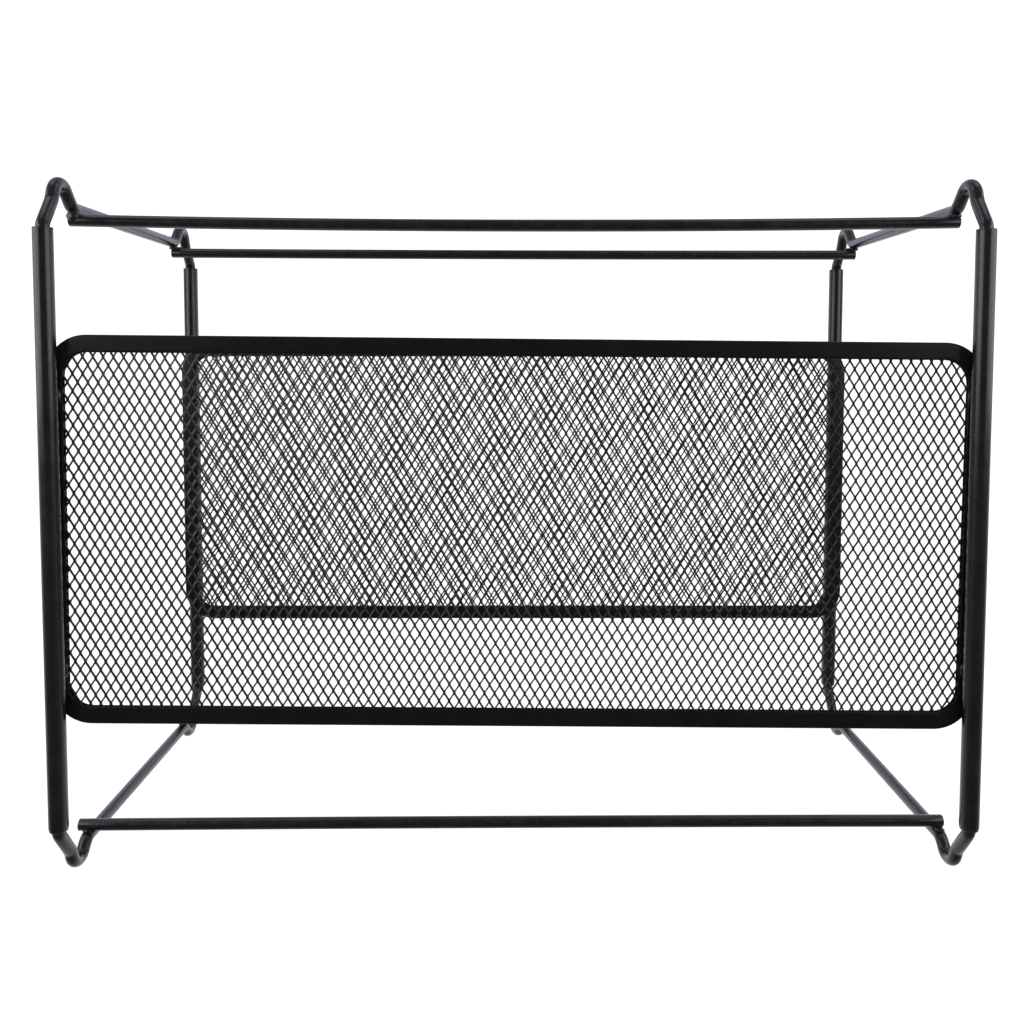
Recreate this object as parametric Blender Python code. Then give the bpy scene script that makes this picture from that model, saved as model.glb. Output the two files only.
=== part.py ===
"""Letter-size hanging-file organizer: a knock-down frame of black steel.

Four round corner tubes carry two mesh panels.  A wire frame plugs into the top of
the tubes and holds the folders' hooks on its side rails, and a second wire frame,
turned over, plugs into the bottom of the tubes and stands on the desk.
Metres, +Z up, front towards -Y.
"""
import math

import bmesh
import bpy
from mathutils import Vector

MM = 0.001

# Overall layout
POST_SPACING_X = 315.0 * MM      # tube centre to tube centre, left to right
POST_SPACING_Y = 152.0 * MM      # tube centre to tube centre, front to back
GAP = 0.3 * MM                   # clearance left between separate pieces

# Corner tubes
TUBE_OUTER_D = 6.6 * MM
TUBE_INNER_D = 5.2 * MM
TUBE_BOTTOM_Z = 19.9 * MM
TUBE_TOP_Z = 226.2 * MM
TUBE_SIDES = 24
TUBE_CORNER_REACH = 1.01         # faceted tube section: corner radius over circle radius

# Bent side wires of the top and bottom frames
WIRE_D = 4.5 * MM
WIRE_SIDES = 16
LEG_INSERTION = 26.0 * MM        # how far each leg reaches into its tube
TOP_RAIL_Z = 235.8 * MM          # centre line of the hanging rails
TOP_LEG = ((0.0, 227.4 * MM), (7.0 * MM, 236.3 * MM))    # where a leg starts and stops leaning
TOP_LOOP = (11.4 * MM, 247.3795 * MM)    # tangent corner of the upper loop, its top at 245.1
TOP_RAIL_START = 22.5 * MM       # tangent corner between loop and rail
BOTTOM_RAIL_Z = 6.9 * MM
BOTTOM_LEG = ((0.0, 18.7 * MM), (8.6 * MM, 8.2 * MM))
BOTTOM_LOOP = (12.6 * MM, -2.2525 * MM)  # tangent corner of the foot loop, its bottom at 0
BOTTOM_RAIL_START = 21.6 * MM
LEG_BEND_R = 4.0 * MM
LEAN_BEND_R = 7.0 * MM
LOOP_BEND_R = 5.5 * MM
RAIL_BEND_R = 5.0 * MM
BEND_STEP = math.radians(15.0)
LOOP_FLAT = math.radians(6.0)    # half angle of the short level facet at a loop's peak
MITRE_LIMIT = 0.2                # least cosine used to widen a section at a bend

# Straight crossbars
BAR_D = 4.3 * MM
TOP_BAR_HALF_LENGTH = 158.4 * MM
BOTTOM_BAR_HALF_LENGTH = 159.3 * MM
BAR_INSET = 22.7 * MM            # from the tube centre towards the middle
BAR_CHAMFER = 0.4 * MM

# Mesh panels
PANEL_WIDTH = POST_SPACING_X + TUBE_OUTER_D     # flush with the outer sides of the corner tubes
PANEL_BOTTOM_Z = 55.0 * MM
PANEL_TOP_Z = 189.6 * MM
PANEL_CORNER_R = 14.0 * MM
PANEL_CORNER_STEPS = 8
BAND_WIDTH = 6.0 * MM            # visible width of the folded band
BAND_DEPTH = 2.5 * MM
BAND_WALL = 0.8 * MM
BAND_EDGE_CHAMFER = 0.35 * MM
MESH_THICKNESS = 0.3 * MM
MESH_INSET = 1.3 * MM            # from the band's outer edge to the sheet's edge

# Colour of the powder coat, linear
COAT_COLOR = (0.012, 0.012, 0.014, 1.0)
COAT_ROUGHNESS = 0.42            # tubes and wires
SATIN_ROUGHNESS = 0.5            # folded bands and mesh


def clear_scene():
    """Remove every object of the start-up file."""
    for obj in list(bpy.data.objects):
        bpy.data.objects.remove(obj, do_unlink=True)


def coat_material(name, roughness):
    """Black powder coat for one object."""
    material = bpy.data.materials.new(name)
    material.use_nodes = True
    shader = material.node_tree.nodes["Principled BSDF"]
    shader.inputs["Base Color"].default_value = COAT_COLOR
    shader.inputs["Roughness"].default_value = roughness
    material.diffuse_color = COAT_COLOR
    return material


def add_object(name, mesh_data, smooth=True, roughness=COAT_ROUGHNESS):
    """Turn a bmesh into a named object with outward faces and its own material."""
    bmesh.ops.recalc_face_normals(mesh_data, faces=mesh_data.faces)
    mesh = bpy.data.meshes.new(name)
    mesh_data.to_mesh(mesh)
    mesh_data.free()
    mesh.materials.append(coat_material(name + "_coat", roughness))
    for polygon in mesh.polygons:
        polygon.use_smooth = smooth and len(polygon.vertices) == 4
    obj = bpy.data.objects.new(name, mesh)
    bpy.context.scene.collection.objects.link(obj)
    return obj


def round_section(diameter, sides):
    """Regular polygon with the area of the circle and one flat facet facing up."""
    radius = diameter / 2.0
    radius *= math.sqrt(math.pi / (sides / 2.0 * math.sin(2.0 * math.pi / sides)))
    step = 2.0 * math.pi / sides
    angles = [(k + 0.5) * step for k in range(sides)]
    return [(radius * math.sin(a), radius * math.cos(a)) for a in angles]


def sweep(path, side, section, closed=False):
    """Sweep a section along a planar path.

    Each section point is (across, out): across runs along the plane's normal `side`,
    out runs in the plane, square to the path and to its left seen from `side`.
    """
    body = bmesh.new()
    count = len(path)
    rings = []
    for i, point in enumerate(path):
        before = path[i - 1] if (closed or i > 0) else None
        after = path[(i + 1) % count] if (closed or i < count - 1) else None
        d_in = (point - before).normalized() if before is not None else None
        d_out = (after - point).normalized() if after is not None else None
        if d_in is None:
            d_in = d_out
        if d_out is None:
            d_out = d_in
        tangent = (d_in + d_out).normalized()
        stretch = 1.0 / max(tangent.dot(d_in), MITRE_LIMIT)
        out = side.cross(tangent).normalized()
        rings.append([body.verts.new(point + side * u + out * (v * stretch)) for u, v in section])
    size = len(section)
    spans = count if closed else count - 1
    for i in range(spans):
        ring, following = rings[i], rings[(i + 1) % count]
        for k in range(size):
            m = (k + 1) % size
            body.faces.new((ring[k], ring[m], following[m], following[k]))
    if not closed:
        body.faces.new(rings[0])
        body.faces.new(list(reversed(rings[-1])))
    return body


def direction_angles(first, last):
    """Split a turn between two directions into even steps, keeping one level chord."""
    if first > LOOP_FLAT and last < -LOOP_FLAT:
        return even_angles(first, LOOP_FLAT) + even_angles(-LOOP_FLAT, last)
    if first < -LOOP_FLAT and last > LOOP_FLAT:
        return even_angles(first, -LOOP_FLAT) + even_angles(LOOP_FLAT, last)
    return even_angles(first, last)


def even_angles(first, last):
    """Angles from first to last in steps no larger than BEND_STEP."""
    steps = max(1, math.ceil(abs(last - first) / BEND_STEP))
    return [first + (last - first) * k / steps for k in range(steps + 1)]


def fillet_path(corners, radii):
    """Round the corners of a flat polyline given as (y, z) pairs."""
    points = [corners[0]]
    for i in range(1, len(corners) - 1):
        corner = Vector(corners[i])
        d_in = (corner - Vector(corners[i - 1])).normalized()
        d_out = (Vector(corners[i + 1]) - corner).normalized()
        first = math.atan2(d_in.y, d_in.x)
        last = math.atan2(d_out.y, d_out.x)
        turn = last - first
        radius = radii[i - 1]
        start = corner - d_in * (radius * math.tan(abs(turn) / 2.0))
        hand = 1.0 if turn > 0.0 else -1.0
        centre = start + Vector((-d_in.y, d_in.x)) * (radius * hand)
        for angle in direction_angles(first, last):
            spoke = Vector((math.sin(angle), -math.cos(angle))) * (radius * hand)
            points.append(tuple(centre + spoke))
    points.append(corners[-1])
    return points


def side_wire_points(leg_end_z, leg, loop, rail_start, rail_z):
    """Centre line of a whole side wire as (y, z), from the front leg to the rear leg."""
    corners = [(0.0, leg_end_z), leg[0], leg[1], loop, (rail_start, rail_z),
               (POST_SPACING_Y / 2.0, rail_z)]
    half = fillet_path(corners, [LEG_BEND_R, LEAN_BEND_R, LOOP_BEND_R, RAIL_BEND_R])
    front = [(y - POST_SPACING_Y / 2.0, z) for y, z in half[:-1]]
    rear = [(-y, z) for y, z in reversed(front)]
    return front + rear


def add_side_wire(name, x, points):
    """Bent wire with a leg at each end."""
    path = [Vector((x, y, z)) for y, z in points]
    body = sweep(path, Vector((1.0, 0.0, 0.0)), round_section(WIRE_D, WIRE_SIDES))
    add_object(name, body)


def add_crossbar(name, half_length, y, z):
    """Straight round bar along X with lightly broken end edges."""
    section = round_section(BAR_D, WIRE_SIDES)
    shrink = 1.0 - 2.0 * BAR_CHAMFER / BAR_D
    stations = [
        (-half_length, shrink),
        (-half_length + BAR_CHAMFER, 1.0),
        (half_length - BAR_CHAMFER, 1.0),
        (half_length, shrink),
    ]
    body = bmesh.new()
    rings = []
    for x, scale in stations:
        rings.append([body.verts.new((x, y + u * scale, z + v * scale)) for u, v in section])
    for ring, following in zip(rings, rings[1:]):
        for k in range(len(section)):
            m = (k + 1) % len(section)
            body.faces.new((ring[k], ring[m], following[m], following[k]))
    body.faces.new(rings[0])
    body.faces.new(list(reversed(rings[-1])))
    add_object(name, body)


def add_tube(name, x, y):
    """Corner tube, open at both ends."""
    outer = round_section(TUBE_OUTER_D, TUBE_SIDES)
    inner = round_section(TUBE_INNER_D, TUBE_SIDES)
    body = bmesh.new()
    loops = []
    for section, z in ((outer, TUBE_BOTTOM_Z), (outer, TUBE_TOP_Z), (inner, TUBE_TOP_Z),
                       (inner, TUBE_BOTTOM_Z)):
        loops.append([body.verts.new((x + u, y + v, z)) for u, v in section])
    for i, loop in enumerate(loops):
        following = loops[(i + 1) % 4]
        for k in range(TUBE_SIDES):
            m = (k + 1) % TUBE_SIDES
            body.faces.new((loop[k], loop[m], following[m], following[k]))
    add_object(name, body)


def rounded_rectangle(inset):
    """Corner-rounded panel outline in XZ, moved inwards by inset, counterclockwise."""
    radius = PANEL_CORNER_R - inset
    half = PANEL_WIDTH / 2.0 - PANEL_CORNER_R
    low = PANEL_BOTTOM_Z + PANEL_CORNER_R
    high = PANEL_TOP_Z - PANEL_CORNER_R
    centres = ((half, high, 0.0), (-half, high, 90.0), (-half, low, 180.0), (half, low, 270.0))
    points = []
    for x, z, start in centres:
        for k in range(PANEL_CORNER_STEPS + 1):
            angle = math.radians(start + 90.0 * k / PANEL_CORNER_STEPS)
            points.append((x + radius * math.cos(angle), z + radius * math.sin(angle)))
    return points


def add_band(name, face_y, inward):
    """Folded band around a panel: a channel open towards the mesh."""
    w, d, t, c = BAND_WIDTH, BAND_DEPTH, BAND_WALL, BAND_EDGE_CHAMFER
    # (depth from the outside face, distance in from the panel's outer edge)
    profile = [(0.0, c), (c, 0.0), (d - c, 0.0), (d, c), (d, w - c), (d - c, w), (d - t, w),
               (d - t, t), (t, t), (t, w), (c, w), (0.0, w - c)]
    body = bmesh.new()
    rings = []
    for depth, inset in profile:
        y = face_y + inward * depth
        outline = rounded_rectangle(inset)
        rings.append([body.verts.new((x, y, z)) for x, z in outline])
    count = len(rings[0])
    for i, ring in enumerate(rings):
        following = rings[(i + 1) % len(rings)]
        for k in range(count):
            m = (k + 1) % count
            body.faces.new((ring[k], ring[m], following[m], following[k]))
    add_object(name, body, smooth=False, roughness=SATIN_ROUGHNESS)


def add_mesh_sheet(name, face_y, inward):
    """Flat sheet that stands in for the expanded-metal mesh inside the band."""
    middle = face_y + inward * BAND_DEPTH / 2.0
    outline = rounded_rectangle(MESH_INSET)
    body = bmesh.new()
    rings = []
    for y in (middle - MESH_THICKNESS / 2.0, middle + MESH_THICKNESS / 2.0):
        rings.append([body.verts.new((x, y, z)) for x, z in outline])
    count = len(outline)
    for k in range(count):
        m = (k + 1) % count
        body.faces.new((rings[0][k], rings[0][m], rings[1][m], rings[1][k]))
    body.faces.new(rings[0])
    body.faces.new(list(reversed(rings[1])))
    add_object(name, body, smooth=False, roughness=SATIN_ROUGHNESS)


def build():
    """Build every piece in its assembled place."""
    clear_scene()
    half_x = POST_SPACING_X / 2.0
    half_y = POST_SPACING_Y / 2.0

    for side, x in (("left", -half_x), ("right", half_x)):
        add_tube("front_" + side + "_post", x, -half_y)
        add_tube("rear_" + side + "_post", x, half_y)

    face_offset = half_y - TUBE_OUTER_D / 2.0 * TUBE_CORNER_REACH - GAP
    for end, face_y, inward in (("front", -face_offset, 1.0), ("rear", face_offset, -1.0)):
        add_band(end + "_panel_frame", face_y, inward)
        add_mesh_sheet(end + "_mesh", face_y, inward)

    top = side_wire_points(TUBE_TOP_Z - LEG_INSERTION, TOP_LEG, TOP_LOOP, TOP_RAIL_START,
                           TOP_RAIL_Z)
    bottom = side_wire_points(TUBE_BOTTOM_Z + LEG_INSERTION, BOTTOM_LEG, BOTTOM_LOOP,
                              BOTTOM_RAIL_START, BOTTOM_RAIL_Z)
    for side, x in (("left", -half_x), ("right", half_x)):
        add_side_wire("top_" + side + "_rail", x, top)
        add_side_wire("bottom_" + side + "_rail", x, bottom)

    bar_offset = (WIRE_D + BAR_D) / 2.0 + GAP
    for end, y in (("front", -half_y + BAR_INSET), ("rear", half_y - BAR_INSET)):
        add_crossbar("top_" + end + "_crossbar", TOP_BAR_HALF_LENGTH, y, TOP_RAIL_Z - bar_offset)
        add_crossbar("bottom_" + end + "_crossbar", BOTTOM_BAR_HALF_LENGTH, y,
                     BOTTOM_RAIL_Z + bar_offset)


build()
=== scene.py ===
"""Looks for the hanging-file organizer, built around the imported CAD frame.  Metres, +Z up."""

import math

import bpy
from mathutils import Matrix, Vector, noise


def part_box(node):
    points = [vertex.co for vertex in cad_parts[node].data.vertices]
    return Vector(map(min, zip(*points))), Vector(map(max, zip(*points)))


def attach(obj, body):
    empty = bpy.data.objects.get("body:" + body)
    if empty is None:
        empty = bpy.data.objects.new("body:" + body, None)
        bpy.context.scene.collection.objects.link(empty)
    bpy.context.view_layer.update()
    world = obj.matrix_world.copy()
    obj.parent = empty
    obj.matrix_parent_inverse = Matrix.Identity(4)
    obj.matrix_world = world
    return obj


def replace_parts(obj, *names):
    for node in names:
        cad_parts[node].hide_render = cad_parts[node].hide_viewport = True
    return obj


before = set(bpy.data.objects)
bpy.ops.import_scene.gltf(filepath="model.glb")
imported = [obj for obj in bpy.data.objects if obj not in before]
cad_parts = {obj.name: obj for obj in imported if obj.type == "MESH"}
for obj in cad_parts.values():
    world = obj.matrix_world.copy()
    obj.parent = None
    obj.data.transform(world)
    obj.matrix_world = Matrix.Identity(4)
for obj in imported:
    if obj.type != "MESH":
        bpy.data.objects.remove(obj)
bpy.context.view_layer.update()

MM = 0.001
noise.seed_set(1)       # noise_vector is seeded from the clock otherwise

# Places taken from the CAD
POST_X = (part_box("front_right_post")[0].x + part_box("front_right_post")[1].x) / 2.0
POST_Y = (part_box("rear_right_post")[0].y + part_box("rear_right_post")[1].y) / 2.0
TUBE_BOTTOM, TUBE_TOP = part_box("front_left_post")[0].z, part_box("front_left_post")[1].z
PANEL_LOW, PANEL_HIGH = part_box("front_panel_frame")
TOP_BAR_LOW, TOP_BAR_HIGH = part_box("top_front_crossbar")
BOTTOM_BAR_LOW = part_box("bottom_front_crossbar")[0]

# Tubes, wires and bars.  Corners are (along the rail from the tube's centre, height), in mm
TUBE_R = (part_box("front_left_post")[1].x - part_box("front_left_post")[0].x) / 2.0 - 0.005 * MM
BORE_R = 2.6 * MM
WIRE_R = 2.25 * MM
BAR_R = 2.15 * MM
TOP_RAIL_Z = 235.8 * MM
BOTTOM_RAIL_Z = 6.9 * MM
LEG_INSERTION = 26.0 * MM
BEND_RADII = (4.0 * MM, 7.0 * MM, 5.5 * MM, 5.0 * MM)
TOP_CORNERS = ((0.0, 227.4), (7.0, 236.3), (11.4, 247.3795), (22.5, 235.8))
FOOT_CORNERS = ((0.0, 18.7), (8.6, 8.2), (12.6, -2.2525), (21.6, 6.9))
WIRE_SIDES = 40
WIRE_STEP = 4.0 * MM            # longest stretch of wire between two rings
ARC_STEP = math.radians(3.0)    # turn between two rings in a bend
WIRE_WOBBLE = 0.02              # unevenness of the radius
BEND_WIDER, BEND_FLATTER = 0.025, 0.045     # what a bend does to a wire's width and thickness
WIRE_END_SCALE = 0.8            # size of a wire's last ring
BAR_CUT = 0.16 * MM             # the broken edge at a bar's end
BAR_END_SCALE = 0.6             # size of the flat disc in the middle of a bar's end

# Panels
BAND_WIDTH = 6.0 * MM
BAND_DEPTH = 2.5 * MM
BAND_WALL = 0.66 * MM
BAND_FOLD_R = 0.6 * MM
BAND_LIP_ROLL = 0.85 * MM
BAND_DENT = 0.06 * MM
BAND_WAVE = 0.05 * MM
CORNER_R = 14.0 * MM
MESH_INSET = 1.3 * MM
DIAMOND_W = 3.52 * MM
DIAMOND_H = 5.88 * MM
STRAND_WIDTH = 0.62 * MM
STRAND_THICKNESS = 0.42 * MM
STRAND_TILT = math.radians(-13.0)
STRAND_DRIFT = 0.3 * MM         # scale of the strands' wander in the sheet
STRAND_WAVE = 0.1 * MM          # and out of it
KNUCKLE_SPREAD = 0.07 * MM      # how far a strand's centre line stays off its knuckle's centre
KNUCKLE_SWELL = 0.16            # extra size of a strand at its knuckles
HEAVY_STRAND, LIGHT_STRAND = 1.05, 0.93     # strands falling and rising to the right, from outside
MESH_SKEW = math.radians(0.5)
FRONT_LEAN = math.radians(0.45) # the front panel hangs a little lower at the right
LEAN_SQUEEZE = 0.36             # narrowing per radian of lean, so that it stays within its width


# ---------------------------------------------------------------- materials

def color_ramp(tree, source, stops):
    """A colour ramp with the given (position, colour) stops, fed from source."""
    node = tree.nodes.new("ShaderNodeValToRGB")
    elements = node.color_ramp.elements
    while len(elements) < len(stops):
        elements.new(0.5)
    for element, (position, value) in zip(elements, stops):
        element.position = position
        element.color = (*value, 1.0)
    tree.links.new(source, node.inputs["Fac"])
    return node.outputs["Color"]


def powder_coat(name, color, roughness, peel, grain, wear, specular=0.5, tint=(0.0, 0.0, 0.0)):
    """Black powder coat: orange peel and fine grain in the bump, uneven tone and gloss, and
    edges and crowns rubbed slightly paler and smoother."""
    material = bpy.data.materials.new(name)
    material.use_nodes = True
    tree = material.node_tree
    nodes, links = tree.nodes, tree.links
    shader = nodes["Principled BSDF"]
    shader.inputs["Specular IOR Level"].default_value = specular
    shader.inputs["Metallic"].default_value = 0.0
    place = nodes.new("ShaderNodeTexCoord")

    def noise_at(scale, detail, rough, distortion=0.0):
        node = nodes.new("ShaderNodeTexNoise")
        node.inputs["Scale"].default_value = scale
        node.inputs["Detail"].default_value = detail
        node.inputs["Roughness"].default_value = rough
        node.inputs["Distortion"].default_value = distortion
        links.new(place.outputs["Object"], node.inputs["Vector"])
        return node.outputs["Fac"]

    def math_node(operation, first, second):
        node = nodes.new("ShaderNodeMath")
        node.operation = operation
        for socket, value in zip(node.inputs, (first, second)):
            if isinstance(value, float):
                socket.default_value = value
            else:
                links.new(value, socket)
        return node.outputs["Value"]

    def mix(factor, first, second):
        node = nodes.new("ShaderNodeMix")
        node.data_type = "RGBA"
        links.new(factor, node.inputs["Factor"])
        links.new(first, node.inputs["A"])
        links.new(second, node.inputs["B"])
        return node.outputs["Result"]

    dark = tuple(c * 0.72 for c in color)
    light = tuple(c * 1.3 + t for c, t in zip(color, tint))
    coat = color_ramp(tree, noise_at(85.0, 4.0, 0.55, 0.6),
                      ((0.32, dark), (0.52, color), (0.72, light)))
    geometry = nodes.new("ShaderNodeNewGeometry")
    crown = color_ramp(tree, geometry.outputs["Pointiness"],
                       ((0.505, (0.0,) * 3), (0.56, (1.0,) * 3)))
    patches = color_ramp(tree, noise_at(330.0, 5.0, 0.65),
                         ((0.5, (0.0,) * 3), (0.68, (1.0,) * 3)))
    rubbed = math_node("MULTIPLY", math_node("MULTIPLY", crown, patches), wear)
    worn = color_ramp(tree, noise_at(900.0, 2.0, 0.5),
                      ((0.3, (0.035, 0.035, 0.037)), (0.7, (0.06, 0.06, 0.062))))
    links.new(mix(rubbed, coat, worn), shader.inputs["Base Color"])

    gloss = color_ramp(tree, noise_at(210.0, 3.0, 0.6),
                       ((0.3, (roughness - 0.04,) * 3), (0.7, (roughness + 0.05,) * 3)))
    links.new(math_node("SUBTRACT", gloss, math_node("MULTIPLY", rubbed, 0.06)),
              shader.inputs["Roughness"])

    wide = nodes.new("ShaderNodeBump")
    wide.inputs["Strength"].default_value = peel
    wide.inputs["Distance"].default_value = 0.03 * MM
    links.new(noise_at(620.0, 2.0, 0.5), wide.inputs["Height"])
    fine = nodes.new("ShaderNodeBump")
    fine.inputs["Strength"].default_value = grain
    fine.inputs["Distance"].default_value = 0.01 * MM
    links.new(noise_at(3600.0, 2.0, 0.6), fine.inputs["Height"])
    links.new(wide.outputs["Normal"], fine.inputs["Normal"])
    links.new(fine.outputs["Normal"], shader.inputs["Normal"])
    return material


TUBE_COAT = powder_coat("tube_coat", (0.0040, 0.0040, 0.0047), roughness=0.25, peel=0.28,
                        grain=0.12, wear=0.5, specular=0.8)
WIRE_COAT = powder_coat("wire_coat", (0.0044, 0.0044, 0.0054), roughness=0.25, peel=0.32,
                        grain=0.10, wear=0.6, specular=0.8, tint=(0.0, 0.0, 0.0014))
BAND_COAT = powder_coat("band_coat", (0.0024, 0.0024, 0.0029), roughness=0.34, peel=0.5,
                        grain=0.35, wear=0.4, specular=0.38)
MESH_COAT = powder_coat("mesh_coat", (0.0065, 0.0065, 0.0076), roughness=0.30, peel=0.35,
                        grain=0.2, wear=0.3, specular=0.5)


# ---------------------------------------------------------------- geometry helpers

def make_piece(name, verts, faces, material, body, smooth=True):
    """A mesh piece that rides on a CAD body."""
    mesh = bpy.data.meshes.new(name)
    mesh.from_pydata(verts, [], faces)
    mesh.update()
    mesh.materials.append(material)
    mesh.polygons.foreach_set("use_smooth", [smooth] * len(mesh.polygons))
    obj = bpy.data.objects.new(name, mesh)
    bpy.context.scene.collection.objects.link(obj)
    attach(obj, body)
    return obj


def grid_faces(rings, sides, closed=False):
    """Quads between consecutive rings of points, each ring closed on itself."""
    faces = []
    for i in range(rings if closed else rings - 1):
        a, b = i * sides, ((i + 1) % rings) * sides
        for k in range(sides):
            m = (k + 1) % sides
            faces.append((a + k, a + m, b + m, b + k))
    return faces


def fillet(corners, radii):
    """Round the corners of a flat polyline of (y, z) pairs with fine arcs."""
    points = [corners[0]]
    for i in range(1, len(corners) - 1):
        corner = Vector(corners[i])
        d_in = (corner - Vector(corners[i - 1])).normalized()
        d_out = (Vector(corners[i + 1]) - corner).normalized()
        first, last = math.atan2(d_in.y, d_in.x), math.atan2(d_out.y, d_out.x)
        turn, radius = last - first, radii[i - 1]
        hand = 1.0 if turn > 0.0 else -1.0
        start = corner - d_in * (radius * math.tan(abs(turn) / 2.0))
        centre = start + Vector((-d_in.y, d_in.x)) * (radius * hand)
        count = max(2, math.ceil(abs(turn) / ARC_STEP))
        for k in range(count + 1):
            angle = first + turn * k / count
            spoke = Vector((math.sin(angle), -math.cos(angle))) * (radius * hand)
            points.append(tuple(centre + spoke))
    points.append(corners[-1])
    return points


def refine(points, longest):
    """Split long stretches of a polyline."""
    out = [points[0]]
    for a, b in zip(points, points[1:]):
        a, b = Vector(a), Vector(b)
        count = max(1, math.ceil((b - a).length / longest))
        out += [tuple(a.lerp(b, k / count)) for k in range(1, count + 1)]
    return out


def side_wire(name, x, corners, leg_end_z, rail_z, body):
    """Bent side wire with a slight flattening in its tight bends."""
    flat = [(0.0, leg_end_z)] + [(y * MM, z * MM) for y, z in corners] + [(POST_Y, rail_z)]
    half = [(y - POST_Y, z) for y, z in fillet(flat, BEND_RADII)][:-1]
    whole = refine(half + [(-y, z) for y, z in reversed(half)], WIRE_STEP)
    verts = []
    count = len(whole)
    for i, (y, z) in enumerate(whole):
        before = Vector(whole[max(i - 1, 0)])
        after = Vector(whole[min(i + 1, count - 1)])
        tangent = (after - before).normalized()
        out = Vector((-tangent.y, tangent.x))
        here = Vector((y, z))
        is_end = i in (0, count - 1)
        bend = 0.0
        if not is_end:
            d_in, d_out = (here - before).normalized(), (after - here).normalized()
            bend = min(1.0, abs(d_in.angle_signed(d_out, 0.0)) / ARC_STEP)
        wobble = WIRE_WOBBLE * noise.noise(Vector((x * 40.0, y * 260.0, z * 260.0)))
        across = WIRE_R * (1.0 + BEND_WIDER * bend + wobble)
        along = WIRE_R * (1.0 - BEND_FLATTER * bend + wobble)
        if is_end:
            across, along = across * WIRE_END_SCALE, along * WIRE_END_SCALE
        for k in range(WIRE_SIDES):
            angle = 2.0 * math.pi * k / WIRE_SIDES
            u, v = across * math.cos(angle), along * math.sin(angle)
            verts.append((x + u, y + out.x * v, z + out.y * v))
    faces = grid_faces(count, WIRE_SIDES)
    faces.append(tuple(range(WIRE_SIDES)))
    faces.append(tuple(reversed(range((count - 1) * WIRE_SIDES, count * WIRE_SIDES))))
    return make_piece(name, verts, faces, WIRE_COAT, body)


def lathe(profile, sides, place, axis_x=False):
    """Turn (radius, height) pairs about Z, or about X when axis_x is set."""
    verts = []
    for radius, height in profile:
        for k in range(sides):
            angle = 2.0 * math.pi * k / sides
            u, v = radius * math.cos(angle), radius * math.sin(angle)
            verts.append(place + (Vector((height, u, v)) if axis_x else Vector((u, v, height))))
    return [tuple(v) for v in verts]


def rounded_end(radius, height, size, direction, steps=4):
    """Profile points of a rounded outer edge at an end, running outwards along the axis."""
    points = []
    for k in range(steps + 1):
        angle = math.radians(90.0) * k / steps
        points.append((radius - size * (1.0 - math.cos(angle)),
                       height + direction * size * (math.sin(angle) - 1.0)))
    return points


def corner_tube(name, x, y):
    """Corner tube: square-cut top with a broken edge, bottom end drawn in slightly."""
    height = TUBE_TOP
    top = rounded_end(TUBE_R, height, 0.14 * MM, 1.0)
    top_inner = [(BORE_R + 0.1 * MM, height), (BORE_R, height - 0.1 * MM)]
    low = TUBE_BOTTOM
    bottom_inner = [(BORE_R, low + 1.6 * MM), (BORE_R - 0.22 * MM, low + 0.5 * MM),
                    (BORE_R - 0.24 * MM, low + 0.1 * MM), (BORE_R - 0.14 * MM, low)]
    bottom = [(TUBE_R - 0.45 * MM, low), (TUBE_R - 0.32 * MM, low + 0.06 * MM),
              (TUBE_R - 0.24 * MM, low + 0.2 * MM), (TUBE_R - 0.16 * MM, low + 0.5 * MM),
              (TUBE_R - 0.07 * MM, low + 1.0 * MM), (TUBE_R - 0.015 * MM, low + 1.6 * MM),
              (TUBE_R, low + 2.2 * MM)]
    steps = 24
    wall = [(TUBE_R, low + 2.2 * MM + (height - low - 3.0 * MM) * k / steps)
            for k in range(1, steps + 1)]
    profile = bottom + wall + top + top_inner + bottom_inner
    sides = 64
    verts = lathe(profile, sides, Vector((x, y, 0.0)))
    return make_piece(name, verts, grid_faces(len(profile), sides, closed=True), TUBE_COAT,
                      "panels")


def crossbar(name, low, high, body, shift, lifts):
    """Straight bar, square-cut with the saw's edge broken. It lies shift off centre, and lifts
    are how far its left end, middle and right end stand above its line, as welding left it."""
    centre = (low + high) / 2.0
    half = (high.x - low.x) / 2.0
    steps = 60
    right = rounded_end(BAR_R, half, BAR_CUT, 1.0)
    left = [(r, -h) for r, h in reversed(right)]
    run = [(BAR_R, -half + BAR_CUT + 2.0 * (half - BAR_CUT) * k / steps) for k in range(1, steps)]
    profile = [(BAR_R * BAR_END_SCALE, -half)] + left + run + right
    profile.append((BAR_R * BAR_END_SCALE, half))
    verts = []
    for x, y, z in lathe(profile, WIRE_SIDES, Vector(), axis_x=True):
        t = x / half
        ends = (lifts[0] * t * (t - 1.0) + lifts[2] * t * (t + 1.0)) / 2.0
        lift = ends + lifts[1] * (1.0 - t * t)
        verts.append((centre.x + x + shift, centre.y + y, centre.z + z + lift))
    faces = grid_faces(len(profile), WIRE_SIDES)
    faces.append(tuple(reversed(range(WIRE_SIDES))))
    faces.append(tuple(range((len(profile) - 1) * WIRE_SIDES, len(profile) * WIRE_SIDES)))
    return make_piece(name, verts, faces, WIRE_COAT, body)


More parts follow.
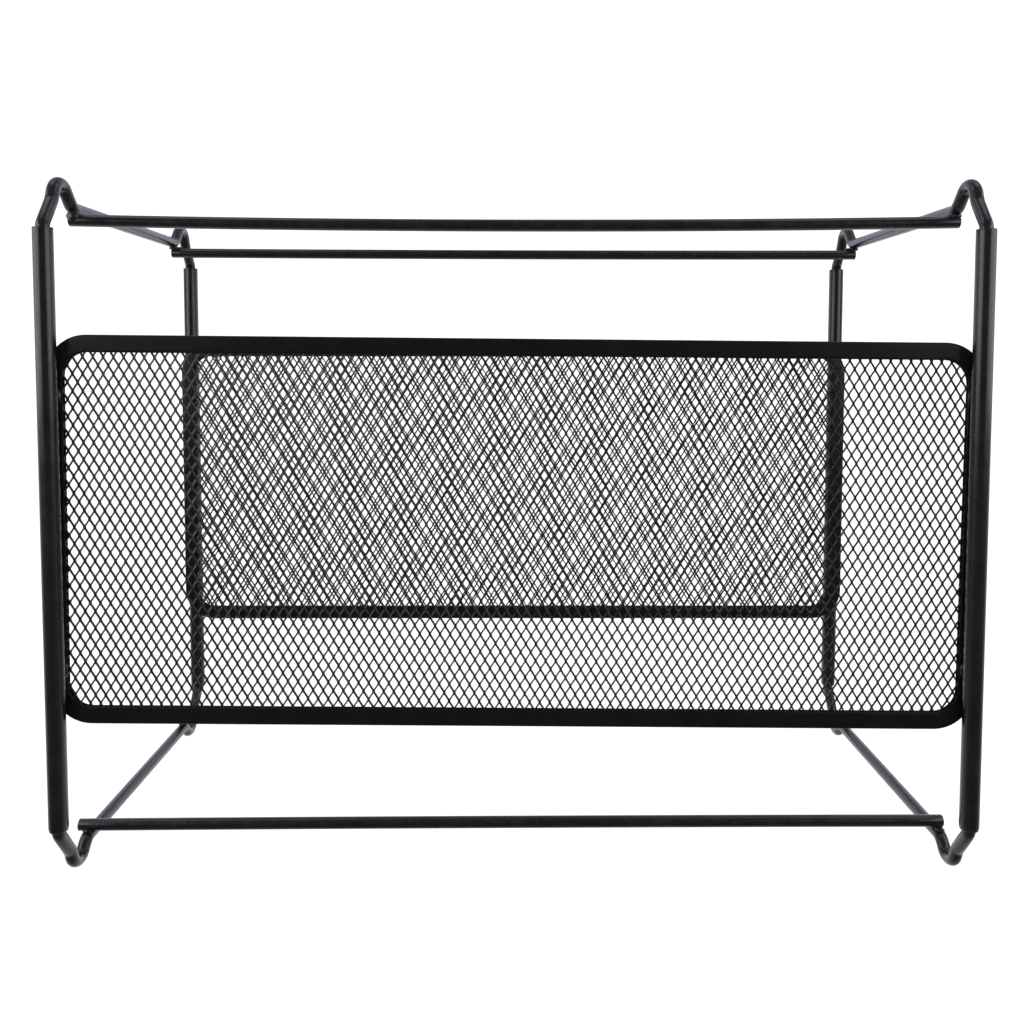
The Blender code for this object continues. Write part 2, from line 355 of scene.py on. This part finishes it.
def outline(inset, steps=14, run_steps=40):
    """Rounded panel outline in XZ, moved inwards, with points along the straight runs."""
    radius = CORNER_R - inset
    half = PANEL_HIGH.x - CORNER_R
    low, high = PANEL_LOW.z + CORNER_R, PANEL_HIGH.z - CORNER_R
    centres = ((half, high, 0.0), (-half, high, 90.0), (-half, low, 180.0), (half, low, 270.0))
    arcs = []
    for cx, cz, start in centres:
        arcs.append([(cx + radius * math.cos(math.radians(start + 90.0 * k / steps)),
                      cz + radius * math.sin(math.radians(start + 90.0 * k / steps)))
                     for k in range(steps + 1)])
    points = []
    for i, arc in enumerate(arcs):
        points += arc
        a, b = arc[-1], arcs[(i + 1) % 4][0]
        count = run_steps if i % 2 == 0 else run_steps // 2
        points += [(a[0] + (b[0] - a[0]) * k / count, a[1] + (b[1] - a[1]) * k / count)
                   for k in range(1, count)]
    return points


def leaned(x, z, lean):
    """A panel point turned by the panel's lean about the panel's middle."""
    middle = (PANEL_LOW.z + PANEL_HIGH.z) / 2.0
    squeeze = 1.0 - abs(lean) * LEAN_SQUEEZE
    x, z = x * squeeze, z - middle
    return (x * math.cos(lean) + z * math.sin(lean),
            middle + z * math.cos(lean) - x * math.sin(lean))


def quarter(cx, cy, deep, wide, start, steps=4):
    """Points of a quarter ellipse, as (depth, inset) pairs."""
    angles = [math.radians(start + 90.0 * k / steps) for k in range(steps + 1)]
    return [(cx + deep * math.cos(a), cy + wide * math.sin(a)) for a in angles]


def band(name, face_y, inward, lean):
    """Folded strip round a panel: rounded fold, two rolled lips, and the slot that grips the mesh."""
    w, d, t, r = BAND_WIDTH, BAND_DEPTH, BAND_WALL, BAND_FOLD_R
    lip, roll = t / 2.0, BAND_LIP_ROLL
    ring = quarter(d - r, r, r, r, 270.0) + [(d, w * 0.35), (d, w * 0.68)]
    ring += quarter(d - lip, w - roll, lip, roll, 0.0)
    ring += quarter(d - lip, w - roll, lip, roll, 90.0)[1:]
    ring += [(d - t, w * 0.6), (d - t, t), (t, t), (t, w * 0.6)]
    ring += quarter(lip, w - roll, lip, roll, 0.0) + quarter(lip, w - roll, lip, roll, 90.0)[1:]
    ring += [(0.0, w * 0.68), (0.0, w * 0.35)] + quarter(r, r, r, r, 180.0)
    verts = []
    for depth, inset in ring:
        for x, z in outline(inset):
            spot = Vector((x * 30.0, inset * 700.0, z * 30.0 + face_y * 9.0))
            dent = BAND_DENT * abs(noise.noise(spot)) * (1.0 if depth < d / 2.0 else -1.0)
            wave = BAND_WAVE * noise.noise(Vector((x * 45.0 + 7.0, depth * 500.0, z * 45.0)))
            inner = inset / w
            px, pz = leaned(x, z + wave * inner, lean)
            verts.append((px, face_y + inward * (depth + dent), pz))
    count = len(outline(0.0))
    faces = grid_faces(len(ring), count, closed=True)
    if inward < 0.0:
        faces = [tuple(reversed(f)) for f in faces]
    return make_piece(name, verts, faces, BAND_COAT, "panels")


def expanded_mesh(name, middle_y, facing, seed, lean):
    """Expanded metal: upright zigzag strands, all tilted the same way about the vertical as the
    slitting and stretching leave them, meeting at short knuckles.  Stations are (place in the
    diamond's height, sideways offset) pairs."""
    half_w = PANEL_HIGH.x - MESH_INSET
    low, high = PANEL_LOW.z + MESH_INSET, PANEL_HIGH.z - MESH_INSET
    radius = CORNER_R - MESH_INSET
    stations = ((0.0, -1.0), (0.06, -0.92), (0.44, 0.92), (0.5, 1.0), (0.56, 0.92), (0.94, -0.92))
    swing = DIAMOND_W / 4.0 - KNUCKLE_SPREAD
    cos_s, sin_s = math.cos(MESH_SKEW), math.sin(MESH_SKEW)
    wide, thick = STRAND_WIDTH / 2.0, STRAND_THICKNESS / 2.0
    section = ((-wide, -thick), (wide, -thick), (wide, thick), (-wide, thick))
    sides = len(section)
    cos_t, sin_t = math.cos(STRAND_TILT), math.sin(STRAND_TILT)
    middle_z = (low + high) / 2.0
    strands = int(2.0 * half_w / (DIAMOND_W / 2.0)) + 4
    start_x = -(strands - 1) / 2.0 * DIAMOND_W / 2.0
    rows = int((high - low) / DIAMOND_H / 2.0) + 3
    verts, faces = [], []
    for s in range(strands):
        mean = start_x + s * DIAMOND_W / 2.0
        phase = 1.0 if s % 2 == 0 else -1.0
        rings = []
        for period in range(-rows, rows + 1):
            for where, offset in stations:
                height = (period + where) * DIAMOND_H
                x0 = mean + offset * phase * swing
                drift = noise.noise_vector(Vector((x0 * 11.0 + seed, height * 11.0, seed)))
                x = (x0 * cos_s + height * sin_s + STRAND_DRIFT * drift.x) * facing
                z = middle_z + height * cos_s - x0 * sin_s + STRAND_DRIFT * drift.z
                knuckle = abs(offset) ** 4
                falling = (where % 1.0 > 0.5) == (phase > 0.0)
                swell = HEAVY_STRAND if falling else LIGHT_STRAND
                if abs(offset) == 1.0:
                    swell = 1.0
                rings.append((x, z, STRAND_WAVE * drift.y, swell + KNUCKLE_SWELL * knuckle))
        inside = []
        for x, z, _, _ in rings:
            side = min(half_w - abs(x), z - low, high - z)
            over_x = max(abs(x) - (half_w - radius), 0.0)
            over_z = max(low + radius - z, z - (high - radius), 0.0)
            in_corner = over_x > 0.0 and over_z > 0.0
            corner = radius - math.hypot(over_x, over_z) if in_corner else side
            inside.append(min(side, corner) > wide)
        run = [ring for ring, keep in zip(rings, inside) if keep]
        if len(run) < 3:
            continue
        base = len(verts)
        for x, z, y, swell in run:
            px, pz = leaned(x, z, lean)
            for u, v in section:
                verts.append((px + (u * cos_t - v * sin_t) * swell * facing,
                              middle_y + y + (u * sin_t + v * cos_t) * swell * facing, pz))
        count = len(run)
        faces += [tuple(i + base for i in face) for face in grid_faces(count, sides)]
        faces.append(tuple(base + k for k in reversed(range(sides))))
        faces.append(tuple(base + (count - 1) * sides + k for k in range(sides)))
    return make_piece(name, verts, faces, MESH_COAT, "panels", smooth=False)


def blob(name, centre, size, seed, body, material):
    """Small lump of weld metal under the coat."""
    rings, sides = 12, 20
    verts = [tuple(centre + Vector((0.0, 0.0, -size[2])))]
    for i in range(1, rings):
        polar = math.pi * i / rings
        for k in range(sides):
            angle = 2.0 * math.pi * k / sides
            way = Vector((math.sin(polar) * math.cos(angle), math.sin(polar) * math.sin(angle),
                          -math.cos(polar)))
            bulge = 1.0 + 0.18 * noise.noise(way * 1.7 + Vector((seed, 0.0, 0.0)))
            reach = Vector((way.x * size[0], way.y * size[1], way.z * size[2]))
            verts.append(tuple(centre + reach * bulge))
    verts.append(tuple(centre + Vector((0.0, 0.0, size[2]))))
    faces = [(0, 1 + (k + 1) % sides, 1 + k) for k in range(sides)]
    for i in range(rings - 2):
        a, b = 1 + i * sides, 1 + (i + 1) * sides
        for k in range(sides):
            m = (k + 1) % sides
            faces.append((a + k, a + m, b + m, b + k))
    last, tip = 1 + (rings - 2) * sides, len(verts) - 1
    faces += [(last + k, last + (k + 1) % sides, tip) for k in range(sides)]
    return make_piece(name, verts, faces, material, body)


# ---------------------------------------------------------------- the organizer

for end, y in (("front", -POST_Y), ("rear", POST_Y)):
    for side, x in (("left", -POST_X), ("right", POST_X)):
        node = end + "_" + side + "_post"
        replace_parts(corner_tube(node + "_tube", x, y), node)

for side, x in (("left", -POST_X), ("right", POST_X)):
    wire = side_wire("top_" + side + "_wire", x, TOP_CORNERS, TUBE_TOP - LEG_INSERTION, TOP_RAIL_Z,
                     "top_frame")
    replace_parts(wire, "top_" + side + "_rail")
    wire = side_wire("bottom_" + side + "_wire", x, FOOT_CORNERS, TUBE_BOTTOM + LEG_INSERTION,
                     BOTTOM_RAIL_Z, "base_frame")
    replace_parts(wire, "bottom_" + side + "_rail")

# Level, end, body, shift to the right, and lifts at the left end, middle and right end, in mm
BARS = (("top", "front", "top_frame", 0.0, (0.5, -1.0, 0.5)),
        ("top", "rear", "top_frame", 0.0, (0.2, -0.3, -0.1)),
        ("bottom", "front", "base_frame", -1.1, (-0.55, 0.25, 0.5)),
        ("bottom", "rear", "base_frame", 0.0, (0.0, 0.2, 0.0)))
for level, end, body, shift, lifts in BARS:
    node = level + "_" + end + "_crossbar"
    low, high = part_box(node)
    bar = crossbar(node + "_bar", low, high, body, shift * MM, tuple(v * MM for v in lifts))
    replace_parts(bar, node)

for end, face_y, inward in (("front", PANEL_LOW.y, 1.0), ("rear", -PANEL_LOW.y, -1.0)):
    lean = FRONT_LEAN if end == "front" else 0.0
    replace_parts(band(end + "_band", face_y, inward, lean), end + "_panel_frame")
    middle = face_y + inward * BAND_DEPTH / 2.0
    seed = 3.7 if end == "front" else 11.3
    sheet = expanded_mesh(end + "_expanded_mesh", middle, inward, seed, lean)
    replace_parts(sheet, end + "_mesh")

# Welds between crossbars and side wires: a lump that wraps the bar's end where it meets the
# inner leg, with smaller beads beside it
bar_y = (TOP_BAR_LOW.y + TOP_BAR_HIGH.y) / 2.0
for level, body, bar_z, way in (("top", "top_frame", TOP_BAR_HIGH.z, 1.0),
                                ("bottom", "base_frame", BOTTOM_BAR_LOW.z, -1.0)):
    for end, turn in (("front", 1.0), ("rear", -1.0)):
        for side, hand in (("left", -1.0), ("right", 1.0)):
            beads = [("fillet", (-0.3, -1.1, 0.35), (1.7, 1.0, 0.9)),
                     ("bead", (-2.3, -0.8, 0.25), (1.1, 0.8, 0.7)),
                     ("inner", (0.0, 1.6, 0.2), (1.9, 1.2, 0.8))]
            if (level, end, side) == ("top", "front", "left"):
                beads.append(("lump", (-0.9, -1.35, -0.3), (2.3, 1.6, 2.3)))
            for index, (part, (dx, dy, dz), size) in enumerate(beads):
                centre = Vector((hand * (POST_X + dx * MM), turn * (bar_y + dy * MM),
                                 bar_z + way * dz * MM))
                seed = 3.1 * index + 7.7 * hand + 13.3 * turn + 29.9 * way
                blob("_".join((level, end, side, "weld", part)), centre,
                     tuple(v * MM for v in size), seed, body, WIRE_COAT)

# Tack welds between the corner tubes and the bands
for end, turn in (("front", -1.0), ("rear", 1.0)):
    for side, hand in (("left", -1.0), ("right", 1.0)):
        for part, z in (("upper", PANEL_HIGH.z - 20.0 * MM), ("lower", PANEL_LOW.z + 20.0 * MM)):
            centre = Vector((hand * (POST_X - 2.3 * MM), turn * (POST_Y - 3.1 * MM), z))
            seed = 5.1 * hand + 9.7 * turn + z * 300.0
            blob("_".join((end, side, "tack", part)), centre, (0.9 * MM, 0.7 * MM, 2.4 * MM), seed,
                 "panels", TUBE_COAT)


# ---------------------------------------------------------------- floor, light, camera

WHITE_DOME = 1.8        # soft light from all round, on matt surfaces
SEEN_WHITE = 1.15       # the background as the camera sees it
TABLE_GLOW = 0.95       # the table's own light
TABLE_REACH = 6.0       # from its middle to its edges


def table_material():
    """Matt white table lit from below, so that it stays pale under the feet."""
    material = bpy.data.materials.new("table_white")
    material.use_nodes = True
    shader = material.node_tree.nodes["Principled BSDF"]
    shader.inputs["Base Color"].default_value = (0.12, 0.12, 0.12, 1.0)
    shader.inputs["Roughness"].default_value = 1.0
    shader.inputs["Specular IOR Level"].default_value = 0.0
    shader.inputs["Emission Color"].default_value = (1.0, 1.0, 1.0, 1.0)
    shader.inputs["Emission Strength"].default_value = TABLE_GLOW
    material.cycles.emission_sampling = "NONE"
    return material


floor_mesh = bpy.data.meshes.new("floor")
floor_corners = [(x * TABLE_REACH, y * TABLE_REACH, 0.0)
                 for x, y in ((-1, -1), (1, -1), (1, 1), (-1, 1))]
floor_mesh.from_pydata(floor_corners, [], [(0, 1, 2, 3)])
floor_mesh.materials.append(table_material())
floor = bpy.data.objects.new("floor", floor_mesh)
bpy.context.scene.collection.objects.link(floor)
floor.visible_glossy = False


def studio_world():
    """White all round for plain sight and soft light.  What gloss mirrors is a light tent with
    a dark opening at the front, a bright back, a dim roof and a warmer table."""
    world = bpy.data.worlds.new("studio")
    bpy.context.scene.world = world
    world.use_nodes = True
    tree = world.node_tree
    nodes, links = tree.nodes, tree.links
    nodes.clear()

    def plain_white(strength):
        node = nodes.new("ShaderNodeBackground")
        node.inputs["Color"].default_value = (1.0, 1.0, 1.0, 1.0)
        node.inputs["Strength"].default_value = strength
        return node

    def ramp_along(axis, stops):
        """Colours by direction, from -1 to 1 along an axis."""
        spread = nodes.new("ShaderNodeMapRange")
        spread.inputs["From Min"].default_value = -1.0
        spread.inputs["From Max"].default_value = 1.0
        links.new(split.outputs[axis], spread.inputs["Value"])
        return color_ramp(tree, spread.outputs["Result"], stops)

    output = nodes.new("ShaderNodeOutputWorld")
    blend = nodes.new("ShaderNodeMixShader")
    dome = plain_white(WHITE_DOME)
    seen = plain_white(SEEN_WHITE)
    white = nodes.new("ShaderNodeMixShader")
    tent = nodes.new("ShaderNodeBackground")
    path = nodes.new("ShaderNodeLightPath")
    place = nodes.new("ShaderNodeTexCoord")
    split = nodes.new("ShaderNodeSeparateXYZ")
    links.new(place.outputs["Generated"], split.inputs["Vector"])

    around = ramp_along("Y", ((0.0, (0.03, 0.03, 0.034)), (0.34, (0.1, 0.1, 0.11)),
                              (0.5, (0.36, 0.355, 0.39)), (0.75, (0.8, 0.79, 0.88)),
                              (1.0, (1.15, 1.12, 1.28))))
    height = ramp_along("Z", ((0.0, (1.05, 1.0, 0.9)), (0.3, (1.0, 0.97, 0.92)),
                              (0.45, (1.0, 1.0, 1.0)), (0.75, (0.7, 0.7, 0.78)),
                              (1.0, (0.35, 0.35, 0.4))))
    product = nodes.new("ShaderNodeMix")
    product.data_type = "RGBA"
    product.blend_type = "MULTIPLY"
    product.inputs["Factor"].default_value = 1.0
    links.new(around, product.inputs["A"])
    links.new(height, product.inputs["B"])
    links.new(product.outputs["Result"], tent.inputs["Color"])
    links.new(path.outputs["Is Glossy Ray"], blend.inputs["Fac"])
    links.new(path.outputs["Is Camera Ray"], white.inputs["Fac"])
    links.new(dome.outputs["Background"], white.inputs[1])
    links.new(seen.outputs["Background"], white.inputs[2])
    links.new(white.outputs["Shader"], blend.inputs[1])
    links.new(tent.outputs["Background"], blend.inputs[2])
    links.new(blend.outputs["Shader"], output.inputs["Surface"])


studio_world()


def softbox(name, place, aim, width, height, radiance):
    """Rectangular soft light of a given brightness that the camera doesn't see."""
    data = bpy.data.lights.new(name, "AREA")
    data.shape = "RECTANGLE"
    data.size, data.size_y = width, height
    data.energy = radiance * math.pi * width * height
    light = bpy.data.objects.new(name, data)
    light.location = place
    light.rotation_euler = (Vector(aim) - Vector(place)).to_track_quat("-Z", "Y").to_euler()
    light.visible_camera = False
    bpy.context.scene.collection.objects.link(light)


for side, hand, radiance in (("left", -1.0, 1.75), ("right", 1.0, 1.5)):
    softbox(side + "_softbox", (hand * 0.40, -0.30, 0.27), (0.0, -0.30, 0.27), 0.52, 0.24, radiance)
    softbox(side + "_overhead", (hand * 0.3, -0.1, 0.72), (hand * 0.16, -0.07, 0.24), 0.26, 0.3, 0.9)

# Camera: focal length in frame widths, turns in radians, principal point as lens shift
SENSOR_WIDTH = 36.0
FOCAL = 0.9611
LOOK_DOWN, YAW, ROLL = 0.0597, -0.0060, -0.0013
LENS_SHIFT = (-0.0037, -0.0932)
CAMERA_PLACE = (-0.00195, -0.40748, 0.18308)
camera_data = bpy.data.cameras.new("camera")
camera = bpy.data.objects.new("camera", camera_data)
bpy.context.scene.collection.objects.link(camera)
camera_data.sensor_width = SENSOR_WIDTH
camera_data.lens = FOCAL * SENSOR_WIDTH
camera_data.shift_x, camera_data.shift_y = LENS_SHIFT
camera_data.clip_start = 0.01
turn = Matrix.Rotation(YAW, 4, "Z") @ Matrix.Rotation(-LOOK_DOWN, 4, "X")
turn = turn @ Matrix.Rotation(ROLL, 4, "Y")
level_view = Matrix.Rotation(math.pi / 2.0, 4, "X")
camera.matrix_world = Matrix.Translation(CAMERA_PLACE) @ turn @ level_view
bpy.context.scene.camera = camera

view = bpy.context.scene.view_settings
view.view_transform = "Standard"
view.look = "None"
view.exposure = 0.0
view.gamma = 1.0
